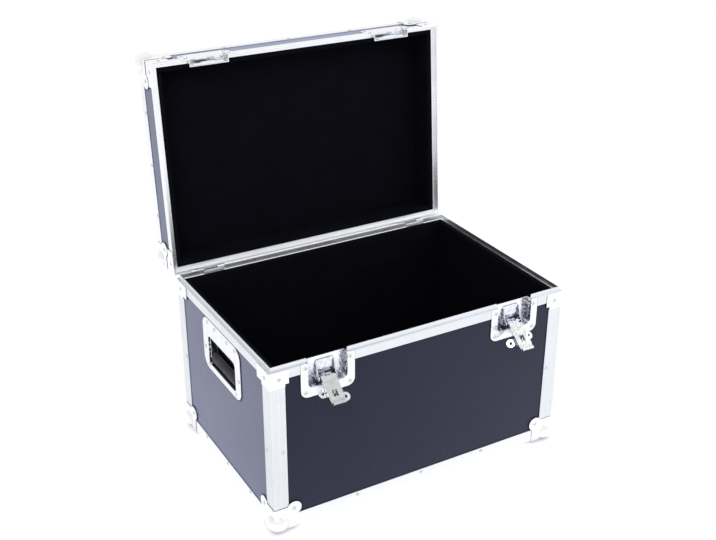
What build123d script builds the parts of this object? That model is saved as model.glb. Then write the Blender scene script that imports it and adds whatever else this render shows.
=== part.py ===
"""A flight case with a hinged lid, shown standing open.

Laminated plywood panels are held by riveted aluminium edge angles. The lid turns on two stop
hinges, the tongue of the base rim seats in the rebate of the lid rim, and two recessed butterfly
latches pull the halves together. Each end wall has a recessed handle with a fold-out grip.

Millimetres, +Z up. The origin is on the floor under the middle of the base, the front faces -Y.
The lid is drawn where it would be when shut, and every lid plane is then swung about the hinge.
"""
from build123d import *
import os

# ---------------------------------------------------------------- driving sizes
case_w = 600.0  # outside, left to right
case_d = 400.0  # outside, front to back
base_h = 319.0  # underside to the parting plane
lid_h = 81.0  # parting plane to the top of the lid
open_angle = 94.7  # the hinges stop the lid here

ply_t = 7.0  # laminated plywood panel
foam_t = 10.0  # lining, its facing included
facing_t = 1.4
foam_gap = 0.3
part_gap = 0.4  # between the two rims when shut
over = 1.0  # how far a cut runs past what it cuts

# edge angles
angle_t = 1.5
post_leg = 28.0  # upright angle at each corner
foot_leg = 25.0  # round the underside
crown_leg = 23.0  # round the lid's top
edge_round = 1.0

# rim extrusions
rim_leg = 17.0
rim_inner_leg = 12.0
rim_inner_t = 1.2
tongue_in = 3.7
tongue_t = 3.4
tongue_h = 8.0
tongue_taper = 1.2
lip_t = 3.2
rebate_h = 9.5

# latches
latch_inset = 108.0  # end of the case to the middle of a latch
pan_w = 102.0
pan_corner = 14.0
base_pan_h = 65.5
lid_pan_h = 40.0
pocket_w = 74.0
pocket_corner = 9.0
base_pocket_h = 48.0
lid_pocket_h = 24.0
pocket_d = 14.0
pan_t = 1.2
pan_gap = 0.4  # between a pan and what it is let into

pivot_depth = 4.0
pivot_drop = 38.0
pivot_r = 2.0
pin_proud = 1.0  # how far a pin's end stands out
fit = 0.06  # radial clearance of a turning fit
bracket_t = 1.5
bracket_half_w = 17.5
bracket_ear_r = 4.5
bracket_low = 9.5
bracket_high = 31.0

lever_swing = 130.0  # out and down from the closed position
arm_t = 1.5
arm_half_w = 11.0
arm_len = 41.0
arm_corner = 4.0
arm_p = -1.3  # outer face of the arm, measured from the pivot
eye_r = 3.6
eye_in = 5.0
eye_out = 12.0

hub_a = 34.0  # from the pivot to the turning axis
hub_gap = 0.2
hub_t = 0.9
hub_half_w = 7.5
hub_half_l = 8.5
hub_p = -0.3
spindle_r = 3.0
cam_r = 5.0
cam_throw = 4.0
cam_t = 1.3

claw_t = 1.5
claw_half_w = 14.0
claw_len = 52.0
claw_tip_half_w = 12.0
claw_p = -4.5
claw_back = 1.0
claw_flange_start = 7.0
claw_flange_end = 40.0
claw_flange_p = 0.2
follower_half = 6.0
follower_t = 1.5
hook_reach = 3.5
hook_tail = 3.3
cross_w = 2.4
cross_l = 11.0

wing_t = 1.6
wing_x = 4.5
wing_p = 2.0
knuckle_r = 2.0
fold_pin_r = 1.0
lug_t = 1.5
lug_gap = 0.3
ear_x = 20.0
ear_r = 7.8
ear_hole_r = 2.8
waist_half = 5.4
waist_round = 6.0

keeper_half_w = 28.0
keeper_lip_half_w = 13.0
keeper_t = 1.2
keeper_low = 1.2
keeper_gap = 0.3
keeper_plate_h = 12.0
keeper_plate_in = 15.6

# how each latch was left: where it is, how far its butterfly is turned, how far its wings are folded
latches = {
    "left": (-case_w / 2 + latch_inset, 22.0, (0.0, 0.0)),
    "right": (case_w / 2 - latch_inset, 174.0, (0.0, 25.0)),
}

# hinges
hinge_inset = 73.0  # end of the case to the middle of a hinge
hinge_out = 6.4
hinge_drop = 3.5
hinge_w = 60.0
hinge_base_leaf_h = 46.0
hinge_lid_leaf_h = 32.0
leaf_t = 1.5
barrel_r = 4.0
hinge_pin_r = 2.0
knuckle_w = 28.0
knuckle_gap = 0.3
stop_w = 24.0
stop_low = 15.0
stop_t = 2.0
stop_gap = 0.1
tongue_notch_w = 42.0

# handles
handle_w = 163.0
handle_h = 105.0
handle_corner = 22.0
handle_drop = 19.0  # parting plane to the top of the dish
grip_pocket_w = 118.0
grip_pocket_h = 58.0
grip_pocket_low = 12.0
grip_pocket_corner = 8.0
grip_pocket_d = 17.0
handle_pivot_drop = 9.0
handle_pivot_depth = 8.5
handle_pin_r = 2.5
bail_t = 2.5
bail_w = 12.0
bail_gap = 2.5
bail_rod_r = 4.0
grip_w = 22.0
grip_d = 15.0

# corners and fasteners
ball_r = 20.0
ball_inset = 11.0
ball_flat = 0.6  # pressed off the ball where it stands
plate_t = 1.2
ball_plate = 44.0
ball_lobe = 38.0
ball_lobe_r = 14.0
brace_h = 32.0
brace_front = 35.0
brace_side = 45.0
brace_step = 26.0
rivet_r = 3.6
rivet_h = 1.1
rivet_sides = 12
rivet_taper = 50.0  # degrees, of the head's edge
rail_rivet_in_long = 165.0
rail_rivet_in_short = 100.0
foot_rivet_up = 19.0
crown_rivet_down = 17.0
post_rivet_in = 21.0
brace_rivet_in = 17.0
brace_rivet_up = 15.0
pan_rivet_in = 9.0
hinge_rivet_x = 20.0
leaf_rivet_in = 4.6
handle_rivet_in = 9.0

# ---------------------------------------------------------------- derived places
floor_gap = ball_r - ball_inset - ball_flat
bottom_z = floor_gap
rim_z = bottom_z + base_h
top_z = rim_z + lid_h
hinge_y = case_d / 2 + hinge_out
hinge_z = rim_z - hinge_drop
hinge_places = (-case_w / 2 + hinge_inset, case_w / 2 - hinge_inset)
rim_w = angle_t + ply_t + rim_inner_t
lid_low = rim_z + part_gap
web_z = rim_z + rebate_h
lid_panel_z = web_z + angle_t
foam_in = rim_w + foam_gap

BASE = Location()
LID = Pos(0, hinge_y, hinge_z) * Rot(X=-open_angle) * Pos(0, -hinge_y, -hinge_z)

OUTWARD = {"front": (0, -1, 0), "back": (0, 1, 0), "left": (-1, 0, 0), "right": (1, 0, 0)}
ALONG = {"front": (1, 0, 0), "back": (-1, 0, 0), "left": (0, -1, 0), "right": (0, 1, 0)}
SIDES = ("front", "back", "left", "right")
CORNERS = ((-1, -1), (1, -1), (1, 1), (-1, 1))

os.makedirs("parts", exist_ok=True)


def put(place, plane):
    """Carry a drawing plane along with the part it belongs to."""
    return Plane(place * plane.location)


def save(piece, name):
    """Label a finished piece and write it."""
    piece.label = name
    export_step(piece, f"parts/{name}.step")


def save_group(pieces, name):
    """Write like pieces as separate solids of one node."""
    save(Compound(children=pieces), name)


def span(side):
    """Outside length of a wall."""
    return case_w if side in ("front", "back") else case_d


def wall(side, depth=0.0, place=BASE):
    """Drawing plane on a wall: x along it, y up from the floor, z out. Depth counts inwards."""
    outward = Vector(*OUTWARD[side])
    reach = (case_d if side in ("front", "back") else case_w) / 2
    face = Plane(origin=outward * (reach - depth), x_dir=ALONG[side], z_dir=OUTWARD[side])
    return put(place, face)


def section(side, place=BASE):
    """Cross-section plane in the middle of a wall: x runs inwards from the outside face, y up."""
    face = wall(side)
    return put(place, Plane(origin=face.origin, x_dir=face.z_dir * -1, z_dir=face.x_dir))


def mitre(side, end, place=BASE):
    """The upright 45 degree plane through a corner, facing away from the wall's own strip."""
    face = wall(side)
    corner = face.origin + face.x_dir * (end * span(side) / 2)
    return put(place, Plane(origin=corner, z_dir=face.x_dir * end - face.z_dir))


def pocket_outline(width, height, corner, up):
    """A slot with its mouth on the x axis, reaching up or down, its two far corners rounded."""
    with BuildSketch() as outline:
        Rectangle(width, height, align=(Align.CENTER, Align.MIN if up > 0 else Align.MAX))
        fillet(outline.vertices().group_by(Axis.Y)[-1 if up > 0 else 0], corner)
    return outline.sketch


# ---------------------------------------------------------------- panels
def panel(side, low, high, place, openings=()):
    """A plywood wall. Front and back run the full width, the ends fit between them."""
    width = span(side) - 2 * angle_t - (0 if side in ("front", "back") else 2 * ply_t)
    with BuildPart() as board:
        with BuildSketch(wall(side, angle_t, place)):
            with Locations((0, (low + high) / 2)):
                Rectangle(width, high - low)
            for outline, x, z in openings:
                with Locations((x, z)):
                    add(outline, mode=Mode.SUBTRACT)
        extrude(amount=-ply_t)
    return board.part


def flat_panel(low, place):
    """The board across the bottom or the top, between the walls."""
    inset = 2 * (angle_t + ply_t)
    with BuildPart() as board:
        with BuildSketch(put(place, Plane.XY.offset(low))):
            Rectangle(case_w - inset, case_d - inset)
        extrude(amount=ply_t)
    return board.part


pan_hole_w = pocket_w + 2 * (pan_t + pan_gap)
base_pan_hole = pocket_outline(
    pan_hole_w, base_pocket_h + pan_t + pan_gap, pocket_corner + pan_t + pan_gap, -1
)
lid_pan_hole = pocket_outline(
    pan_hole_w, lid_pocket_h + pan_t + pan_gap, pocket_corner + pan_t + pan_gap, 1
)
handle_top = rim_z - handle_drop
handle_low = handle_top - handle_h
grip_pocket_z = handle_low + grip_pocket_low + grip_pocket_h / 2
with BuildSketch() as handle_hole:
    RectangleRounded(
        grip_pocket_w + 2 * (pan_t + pan_gap),
        grip_pocket_h + 2 * (pan_t + pan_gap),
        grip_pocket_corner + pan_t + pan_gap,
    )

base_openings = {
    "front": [(base_pan_hole, x, rim_z) for x, _, _ in latches.values()],
    "back": [],
    "left": [(handle_hole.sketch, 0, grip_pocket_z)],
    "right": [(handle_hole.sketch, 0, grip_pocket_z)],
}
lid_openings = {
    "front": [(lid_pan_hole, x, lid_low) for x, _, _ in latches.values()],
    "back": [],
    "left": [],
    "right": [],
}
for side in SIDES:
    save(
        panel(side, bottom_z + angle_t, rim_z - angle_t, BASE, base_openings[side]),
        f"base_{side}_panel",
    )
    save(
        panel(side, lid_panel_z, top_z - angle_t, LID, lid_openings[side]),
        f"lid_{side}_panel",
    )
save(flat_panel(bottom_z + angle_t, BASE), "base_bottom_panel")
save(flat_panel(top_z - angle_t - ply_t, LID), "lid_top_panel")


# ---------------------------------------------------------------- rims and edge angles
def base_rim_profile():
    """Cap over the panel's edge with a tapered tongue on top."""
    tongue_out = tongue_in + tongue_t
    with BuildSketch() as profile:
        with BuildLine():
            Polyline(
                (0, -rim_leg),
                (0, 0),
                (tongue_in, 0),
                (tongue_in + tongue_taper / 2, tongue_h),
                (tongue_out - tongue_taper, tongue_h),
                (tongue_out, 0),
                (rim_w, 0),
                (rim_w, -rim_inner_leg),
                (rim_w - rim_inner_t, -rim_inner_leg),
                (rim_w - rim_inner_t, -angle_t),
                (angle_t, -angle_t),
                (angle_t, -rim_leg),
                close=True,
            )
        make_face()
    return profile.sketch


def lid_rim_profile():
    """Cap over the lid panel's edge, with a thick outer lip and a rebate that the tongue enters."""
    web_top = rebate_h + angle_t
    with BuildSketch() as profile:
        with BuildLine():
            Polyline(
                (0, part_gap),
                (lip_t, part_gap),
                (lip_t, rebate_h),
                (rim_w, rebate_h),
                (rim_w, rebate_h + rim_inner_leg),
                (rim_w - rim_inner_t, rebate_h + rim_inner_leg),
                (rim_w - rim_inner_t, web_top),
                (angle_t, web_top),
                (angle_t, part_gap + rim_leg),
                (0, part_gap + rim_leg),
                close=True,
            )
        make_face()
    return profile.sketch


def angle_profile(leg, up):
    """L-section with its corner at the origin: one leg inwards, one leg up or down the wall."""
    with BuildSketch() as profile:
        with BuildLine():
            Polyline(
                (0, 0),
                (leg, 0),
                (leg, up * angle_t),
                (angle_t, up * angle_t),
                (angle_t, up * leg),
                (0, up * leg),
                close=True,
            )
        make_face()
        fillet(profile.vertices().sort_by_distance((0, 0))[0], edge_round)
    return profile.sketch


def strip(side, profile, z, place, cuts=()):
    """A profile run along a wall, mitred at both corners. Each cut is (x, z, width, height, depth)."""
    with BuildPart() as length:
        with BuildSketch(section(side, place)):
            with Locations((0, z)):
                add(profile)
        extrude(amount=span(side) / 2, both=True)
        for end in (-1, 1):
            split(bisect_by=mitre(side, end, place), keep=Keep.BOTTOM)
        for x, low, width, height, depth in cuts:
            with BuildSketch(wall(side, -angle_t, place)):
                with Locations((x, low)):
                    Rectangle(width, height, align=(Align.CENTER, Align.MIN))
            extrude(amount=-(depth + angle_t), mode=Mode.SUBTRACT)
    return length.part


# The leg is cut away behind each latch pan's flange, and the whole rim across its pocket.
rim_cut = rim_leg + tongue_h + over
latch_cuts = [
    cut
    for x, _, _ in latches.values()
    for cut in (
        (x, rim_z - rim_cut, pan_w + 2 * pan_gap, 2 * rim_cut, angle_t),
        (x, rim_z - rim_cut, pan_hole_w, 2 * rim_cut, rim_w + over),
    )
]
hinge_cuts = [(x, rim_z, tongue_notch_w, tongue_h + over, rim_w + over) for x in hinge_places]
rim_cuts = {"front": latch_cuts, "back": [], "left": [], "right": []}
base_rim = base_rim_profile()
lid_rim = lid_rim_profile()
base_rims = {}
lid_rims = {}
foot_angles = {}
crown_angles = {}
for side in SIDES:
    base_cuts = hinge_cuts if side == "back" else rim_cuts[side]
    base_rims[side] = strip(side, base_rim, rim_z, BASE, base_cuts)
    lid_rims[side] = strip(side, lid_rim, rim_z, LID, rim_cuts[side])
    foot_angles[side] = strip(side, angle_profile(foot_leg, 1), bottom_z, BASE)
    crown_angles[side] = strip(side, angle_profile(crown_leg, -1), top_z, LID)
for side in ("front", "back"):
    save(base_rims[side], f"base_rim_{side}")
    save(lid_rims[side], f"lid_rim_{side}")
save_group([base_rims["left"], base_rims["right"]], "base_rim_ends")
save_group([lid_rims["left"], lid_rims["right"]], "lid_rim_ends")
save_group([foot_angles["front"], foot_angles["back"]], "base_foot_angles_long")
save_group([foot_angles["left"], foot_angles["right"]], "base_foot_angles_short")
save_group([crown_angles["front"], crown_angles["back"]], "lid_crown_angles_long")
save_group([crown_angles["left"], crown_angles["right"]], "lid_crown_angles_short")


def post(sx, sy, low, high, place):
    """Upright angle on one corner, between the horizontal ones."""
    with BuildPart() as angle:
        with BuildSketch(put(place, Plane.XY.offset(low))) as plan:
            with BuildLine():
                Polyline(
                    (sx * case_w / 2, sy * case_d / 2),
                    (sx * (case_w / 2 - post_leg), sy * case_d / 2),
                    (sx * (case_w / 2 - post_leg), sy * (case_d / 2 - angle_t)),
                    (sx * (case_w / 2 - angle_t), sy * (case_d / 2 - angle_t)),
                    (sx * (case_w / 2 - angle_t), sy * (case_d / 2 - post_leg)),
                    (sx * case_w / 2, sy * (case_d / 2 - post_leg)),
                    close=True,
                )
            make_face()
        extrude(amount=high - low)
    return angle.part


base_posts = [post(sx, sy, bottom_z + foot_leg, rim_z - rim_leg, BASE) for sx, sy in CORNERS]
lid_posts = [post(sx, sy, lid_low + rim_leg, top_z - crown_leg, LID) for sx, sy in CORNERS]
save_group(base_posts, "base_posts")
save_group(lid_posts, "lid_posts")


# ---------------------------------------------------------------- ball corners and braces
def ball_corner(frame):
    """Pressed corner: a ball over the corner and a lobed plate on each of the three faces.

    In its own frame the case fills the octant where x, y and z are all negative, and the flat that
    the ball stands on faces +z.
    """
    with BuildPart() as corner:
        with BuildSketch(Plane.XY, Plane.YZ, Plane.ZX):
            with Locations((plate_t, plate_t)):
                Rectangle(ball_plate + plate_t, ball_plate + plate_t, align=(Align.MAX, Align.MAX))
        extrude(amount=plate_t)
        with BuildSketch(Plane.XY, Plane.YZ, Plane.ZX):
            with Locations((-ball_lobe, -ball_lobe)):
                Circle(ball_lobe_r)
        extrude(amount=plate_t)
        with Locations((-ball_inset, -ball_inset, -ball_inset)):
            Sphere(ball_r)
        with Locations((-ball_inset, -ball_inset, floor_gap)):
            Cylinder(
                ball_r, ball_r, align=(Align.CENTER, Align.CENTER, Align.MIN), mode=Mode.SUBTRACT
            )
        Box(case_d, case_d, case_d, align=(Align.MAX, Align.MAX, Align.MAX), mode=Mode.SUBTRACT)
        with BuildSketch(Plane.XY, Plane.YZ, Plane.ZX):
            with Locations((-ball_lobe, -ball_lobe)):
                Circle(ball_lobe_r)
            with Locations((0, 0)):
                Rectangle(2 * (post_leg + pan_gap), 4 * ball_lobe, mode=Mode.SUBTRACT)
                Rectangle(4 * ball_lobe, 2 * (post_leg + pan_gap), mode=Mode.SUBTRACT)
        extrude(amount=-angle_t)
    return frame * corner.part


def corner_frames(z, up):
    """Where the ball corners go: the top or the bottom of a box of the case's plan."""
    first = {(1, 1): 0, (-1, 1): 90, (-1, -1): 180, (1, -1): 270}
    for (sx, sy), turn in first.items():
        if up > 0:
            yield Pos(sx * case_w / 2, sy * case_d / 2, z) * Rot(Z=turn)
        else:
            yield Pos(sx * case_w / 2, sy * case_d / 2, z) * Rot(Z=turn) * Rot(X=180) * Rot(Z=-90)


save_group([ball_corner(f) for f in corner_frames(bottom_z, -1)], "base_ball_corners")
save_group([ball_corner(LID * f) for f in corner_frames(top_z, 1)], "lid_ball_corners")


def brace(sx, sy, z, up, place):
    """Bent plate round one corner of a rim, narrower where it reaches past the rim's leg."""
    x0, y0 = case_w / 2, case_d / 2
    with BuildPart() as plate:
        with BuildSketch(put(place, Plane.XY.offset(z))):
            with BuildLine():
                Polyline(
                    (sx * (x0 + plate_t), sy * (y0 + plate_t)),
                    (sx * (x0 - brace_front), sy * (y0 + plate_t)),
                    (sx * (x0 - brace_front), sy * y0),
                    (sx * x0, sy * y0),
                    (sx * x0, sy * (y0 - brace_side)),
                    (sx * (x0 + plate_t), sy * (y0 - brace_side)),
                    close=True,
                )
            make_face()
        extrude(amount=up * brace_h)
        with BuildSketch(put(place, Plane.XY.offset(z + up * brace_step))):
            with Locations((sx * (x0 - brace_side / 2 - post_leg), sy * y0)):
                Rectangle(brace_side, 4 * plate_t)
            with Locations((sx * x0, sy * (y0 - brace_side / 2 - post_leg))):
                Rectangle(4 * plate_t, brace_side)
        extrude(amount=up * brace_h, mode=Mode.SUBTRACT)
    return plate.part


save_group([brace(*c, rim_z, -1, BASE) for c in CORNERS], "base_rim_braces")
save_group([brace(*c, lid_low, 1, LID) for c in CORNERS], "lid_rim_braces")


# ---------------------------------------------------------------- latches
def pan(x, z, height, pocket_h, up, place):
    """Drawn dish half: a flange on the panel and a pocket open at the parting plane."""
    front = put(place, Plane(origin=(x, -case_d / 2, z), x_dir=(1, 0, 0), z_dir=(0, -1, 0)))
    with BuildPart() as dish:
        with BuildSketch(front):
            add(pocket_outline(pan_w, height, pan_corner, up))
        extrude(amount=-angle_t)
        with BuildSketch(front):
            add(pocket_outline(pocket_w + 2 * pan_t, pocket_h + pan_t, pocket_corner + pan_t, up))
        extrude(amount=-(pocket_d + pan_t))
        with BuildSketch(front):
            add(pocket_outline(pocket_w, pocket_h, pocket_corner, up))
        extrude(amount=-pocket_d, mode=Mode.SUBTRACT)
    return dish.part


def bracket(x):
    """Fixed bracket on the pan's floor with two ears that carry the pivot pin."""
    floor = Plane(
        origin=(x, -case_d / 2 + pocket_d, rim_z - pivot_drop), x_dir=(1, 0, 0), z_dir=(0, -1, 0)
    )
    rise = pocket_d - pivot_depth
    with BuildPart() as fixed:
        with BuildSketch(floor):
            with Locations((0, (bracket_high - bracket_low) / 2)):
                RectangleRounded(2 * bracket_half_w, bracket_high + bracket_low, bracket_ear_r)
        extrude(amount=bracket_t)
        for ear_x0 in (-bracket_half_w, bracket_half_w - bracket_t):
            ear = Plane(
                origin=floor.origin + Vector(ear_x0, 0, 0), x_dir=(0, -1, 0), z_dir=(-1, 0, 0)
            )
            with BuildSketch(ear):
                with BuildLine():
                    Polyline(
                        (0, -bracket_low + bracket_ear_r),
                        (rise, -bracket_ear_r),
                        (rise, bracket_ear_r),
                        (bracket_t * 2, bracket_high - bracket_ear_r),
                        (0, bracket_high - bracket_ear_r),
                        close=True,
                    )
                make_face()
                with Locations((rise, 0)):
                    Circle(bracket_ear_r)
                    Circle(pivot_r, mode=Mode.SUBTRACT)
            extrude(amount=-bracket_t)
    return fixed.part


def pivot_pin(x):
    """Pin across the bracket's ears."""
    axis = Plane(
        origin=(x, -case_d / 2 + pivot_depth, rim_z - pivot_drop), x_dir=(0, -1, 0), z_dir=(1, 0, 0)
    )
    with BuildPart() as pin:
        with BuildSketch(axis):
            Circle(pivot_r)
        extrude(amount=bracket_half_w + pin_proud, both=True)
    return pin.part


def lever_frame(x):
    """Lever coordinates at rest: x across, y from the pivot along the lever, z to the butterfly."""
    shut = Plane(
        origin=(x, -case_d / 2 + pivot_depth, rim_z - pivot_drop), x_dir=(1, 0, 0), z_dir=(0, -1, 0)
    )
    return shut.location * Rot(X=lever_swing)


def arm(lever):
    """Swinging plate with two rolled eyes on the pivot pin and the spindle's hole."""
    with BuildPart() as plate:
        with BuildSketch(put(lever, Plane.XY.offset(arm_p - arm_t))):
            with Locations((0, arm_len / 2)):
                RectangleRounded(2 * arm_half_w, arm_len, arm_corner)
        extrude(amount=arm_t)
        with BuildSketch(put(lever, Plane.YZ.offset(eye_in))):
            Circle(eye_r)
        extrude(amount=eye_out - eye_in)
        with BuildSketch(put(lever, Plane.YZ.offset(-eye_in))):
            Circle(eye_r)
        extrude(amount=-(eye_out - eye_in))
        with BuildSketch(put(lever, Plane.YZ)):
            Circle(pivot_r + fit)
        extrude(amount=2 * eye_out, both=True, mode=Mode.SUBTRACT)
        with BuildSketch(put(lever, Plane.XY.offset(arm_p - 2 * arm_t))):
            with Locations((0, hub_a)):
                Circle(spindle_r + fit)
        extrude(amount=3 * arm_t, mode=Mode.SUBTRACT)
    return plate.part


def claw(lever, turn):
    """Sliding claw: a tapered channel over the arm, two follower bars for the cam, and a hooked end."""
    slide = lever * Pos(0, 2 * cam_throw * turn / 180, 0)
    cam_a = hub_a - cam_throw
    with BuildPart() as channel:
        with BuildSketch(put(slide, Plane.XY.offset(claw_p - claw_t))):
            with BuildLine():
                Polyline(
                    (-claw_half_w, -claw_back),
                    (-claw_half_w, claw_flange_end),
                    (-claw_tip_half_w, claw_len),
                    (claw_tip_half_w, claw_len),
                    (claw_half_w, claw_flange_end),
                    (claw_half_w, -claw_back),
                    close=True,
                )
            make_face()
            with Locations((0, cam_a)):
                for tilt in (45, -45):
                    Rectangle(cross_w, cross_l, rotation=tilt, mode=Mode.SUBTRACT)
        extrude(amount=claw_t)
        with BuildSketch(put(slide, Plane.XY.offset(claw_p))):
            for x in (-1, 1):
                with Locations(
                    (x * (claw_half_w - claw_t / 2), (claw_flange_start + claw_flange_end) / 2)
                ):
                    Rectangle(claw_t, claw_flange_end - claw_flange_start)
        extrude(amount=claw_flange_p - claw_p)
        with BuildSketch(put(slide, Plane.XY.offset(claw_p))):
            for side in (-1, 1):
                with Locations((0, cam_a + side * (follower_half + follower_t / 2))):
                    Rectangle(2 * (claw_half_w - claw_t), follower_t)
        extrude(amount=follower_t)
        with BuildSketch(put(slide, Plane.XY.offset(claw_p - claw_t))):
            with Locations((0, claw_len - claw_t / 2)):
                Rectangle(2 * claw_tip_half_w, claw_t)
        extrude(amount=-hook_reach)
        with BuildSketch(put(slide, Plane.XY.offset(claw_p - claw_t - hook_reach))):
            with Locations((0, claw_len - (hook_tail + claw_t) / 2)):
                Rectangle(2 * claw_tip_half_w, hook_tail + claw_t)
        extrude(amount=claw_t)
    return channel.part


def hub(lever, turn):
    """Butterfly hub: spindle and cam below, lugs and two fold pins above."""
    frame = lever * Pos(0, hub_a, 0) * Rot(Z=turn)
    cam_low = arm_p - arm_t - hub_gap - cam_t
    with BuildPart() as body:
        with BuildSketch(put(frame, Plane.XY.offset(hub_p - hub_t))):
            Rectangle(2 * hub_half_w, 2 * hub_half_l)
        extrude(amount=hub_t)
        with BuildSketch(put(frame, Plane.XY.offset(cam_low + cam_t))):
            Circle(spindle_r)
        extrude(amount=hub_p - hub_t - cam_low - cam_t)
        with BuildSketch(put(frame, Plane.XY.offset(cam_low))):
            with Locations((0, -cam_throw)):
                Circle(cam_r)
        extrude(amount=cam_t)
        for end in (-1, 1):
            with BuildSketch(put(frame, Plane.ZX.offset(end * hub_half_l))):
                with Locations((hub_p, 0)):
                    Rectangle(
                        wing_p - hub_p, 2 * wing_x + 2 * knuckle_r, align=(Align.MIN, Align.CENTER)
                    )
                with Locations((wing_p, -wing_x), (wing_p, wing_x)):
                    Circle(knuckle_r)
            extrude(amount=-end * lug_t)
        with BuildSketch(put(frame, Plane.ZX)):
            with Locations((wing_p, -wing_x), (wing_p, wing_x)):
                Circle(fold_pin_r)
        extrude(amount=hub_half_l, both=True)
    return body.part


def wing(lever, turn, side, fold):
    """One butterfly wing on its fold pin: a waisted plate with a holed ear. Both are the same part."""
    hub_turn = turn if side > 0 else turn + 180
    frame = lever * Pos(0, hub_a, 0) * Rot(Z=hub_turn) * Pos(wing_x, 0, wing_p) * Rot(Y=-fold)
    reach = ear_x - wing_x
    half_l = hub_half_l - lug_t - lug_gap
    with BuildPart() as plate:
        with BuildSketch(put(frame, Plane.XY.offset(-wing_t / 2))) as outline:
            Rectangle(reach, 2 * waist_half, align=(Align.MIN, Align.CENTER))
            with Locations((reach, 0)):
                Circle(ear_r)
            fillet(outline.vertices().filter_by_position(Axis.X, knuckle_r, reach), waist_round)
            with Locations((reach, 0)):
                Circle(ear_hole_r, mode=Mode.SUBTRACT)
        extrude(amount=wing_t)
        with BuildSketch(put(frame, Plane.ZX)):
            Circle(knuckle_r)
        extrude(amount=half_l, both=True)
        with BuildSketch(put(frame, Plane.ZX)):
            Circle(fold_pin_r + fit)
        extrude(amount=2 * half_l, both=True, mode=Mode.SUBTRACT)
    return plate.part


def keeper(x):
    """Strike in the lid's pan: a shelf with a raised lip for the claw, on two side plates."""
    front = put(LID, Plane(origin=(x, -case_d / 2, rim_z), x_dir=(1, 0, 0), z_dir=(0, -1, 0)))
    lip_top = claw_len - claw_t - pivot_drop - keeper_gap
    lip_depth = pivot_depth - claw_p + claw_t + keeper_gap
    with BuildPart() as strike:
        with BuildSketch(front.offset(-pocket_d)):
            with Locations((0, keeper_low)):
                Rectangle(2 * keeper_half_w, keeper_t, align=(Align.CENTER, Align.MIN))
        extrude(amount=pocket_d - lip_depth)
        with BuildSketch(front.offset(-lip_depth)):
            with Locations((0, keeper_low)):
                Rectangle(
                    2 * keeper_lip_half_w, lip_top - keeper_low, align=(Align.CENTER, Align.MIN)
                )
        extrude(amount=-keeper_t)
        plate_w = keeper_half_w - keeper_plate_in
        with BuildSketch(front.offset(-pocket_d)):
            for side in (-1, 1):
                with Locations((side * (keeper_plate_in + plate_w / 2), keeper_low)):
                    Rectangle(plate_w, keeper_plate_h, align=(Align.CENTER, Align.MIN))
        extrude(amount=keeper_t)
    return strike.part


for name, (x, turn, (fold_a, fold_b)) in latches.items():
    lever = lever_frame(x)
    save(pan(x, rim_z, base_pan_h, base_pocket_h, -1, BASE), f"{name}_latch_base_pan")
    save(pan(x, lid_low, lid_pan_h, lid_pocket_h, 1, LID), f"{name}_latch_lid_pan")
    save(arm(lever), f"{name}_latch_arm")
    save(claw(lever, turn), f"{name}_latch_claw")
    save(hub(lever, turn), f"{name}_butterfly_hub")
    save(wing(lever, turn, -1, fold_a), f"{name}_butterfly_wing_a")
    save(wing(lever, turn, 1, fold_b), f"{name}_butterfly_wing_b")
save_group([bracket(x) for x, _, _ in latches.values()], "latch_brackets")
save_group([pivot_pin(x) for x, _, _ in latches.values()], "latch_pivot_pins")
save_group([keeper(x) for x, _, _ in latches.values()], "latch_keepers")


# ---------------------------------------------------------------- hinges
def leaf_profile(up):
    """Hinge leaf from the side: on the rim's leg first, then joggled on to the panel.

    The origin is on the hinge axis, x runs out from the case and y up.
    """
    leg_end = rim_leg + part_gap + hinge_drop if up > 0 else rim_leg - hinge_drop
    near = up * (barrel_r + leaf_t)
    step = up * (leg_end + pan_gap)
    far = up * (hinge_lid_leaf_h if up > 0 else hinge_base_leaf_h)
    with BuildSketch() as profile:
        with BuildLine():
            Polyline(
                (-hinge_out, near),
                (-hinge_out, step),
                (-hinge_out - angle_t, step),
                (-hinge_out - angle_t, far),
                (-hinge_out - angle_t + leaf_t, far),
                (-hinge_out - angle_t + leaf_t, step + up * leaf_t),
                (-hinge_out + leaf_t, step + up * leaf_t),
                (-hinge_out + leaf_t, near),
                close=True,
            )
        make_face()
    return profile.sketch


def knuckle_profile(up):
    """Barrel round the pin and the web that joins it to the leaf."""
    near = up * (barrel_r + leaf_t)
    with BuildSketch() as profile:
        Circle(barrel_r)
        with BuildLine():
            Polyline(
                (-hinge_out, near),
                (-barrel_r, 0),
                (0, up * barrel_r),
                (-hinge_out + leaf_t, near),
                close=True,
            )
        make_face()
    return profile.sketch


def hinge_leaf(x, up, place):
    """One leaf. The base's has a knuckle at each end, the lid's has one in the middle."""
    middle = Plane(origin=(x, hinge_y, hinge_z), x_dir=(0, 1, 0), z_dir=(1, 0, 0))
    end_w = (hinge_w - knuckle_w) / 2 - knuckle_gap
    with BuildPart() as leaf:
        with BuildSketch(put(place, middle)):
            add(leaf_profile(up))
        extrude(amount=hinge_w / 2, both=True)
        if up > 0:
            with BuildSketch(put(place, middle)):
                add(knuckle_profile(up))
            extrude(amount=knuckle_w / 2, both=True)
            with BuildSketch(middle):
                with Locations((-hinge_out + leaf_t + stop_gap, 0)):
                    Rectangle(stop_t, stop_low, align=(Align.MIN, Align.MAX))
            extrude(amount=stop_w / 2, both=True)
        else:
            with BuildSketch(put(place, middle.offset(hinge_w / 2))):
                add(knuckle_profile(up))
            extrude(amount=-end_w)
            with BuildSketch(put(place, middle.offset(-hinge_w / 2))):
                add(knuckle_profile(up))
            extrude(amount=end_w)
        with BuildSketch(put(place, middle)):
            Circle(hinge_pin_r + fit)
        extrude(amount=hinge_w, both=True, mode=Mode.SUBTRACT)
    return leaf.part


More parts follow.
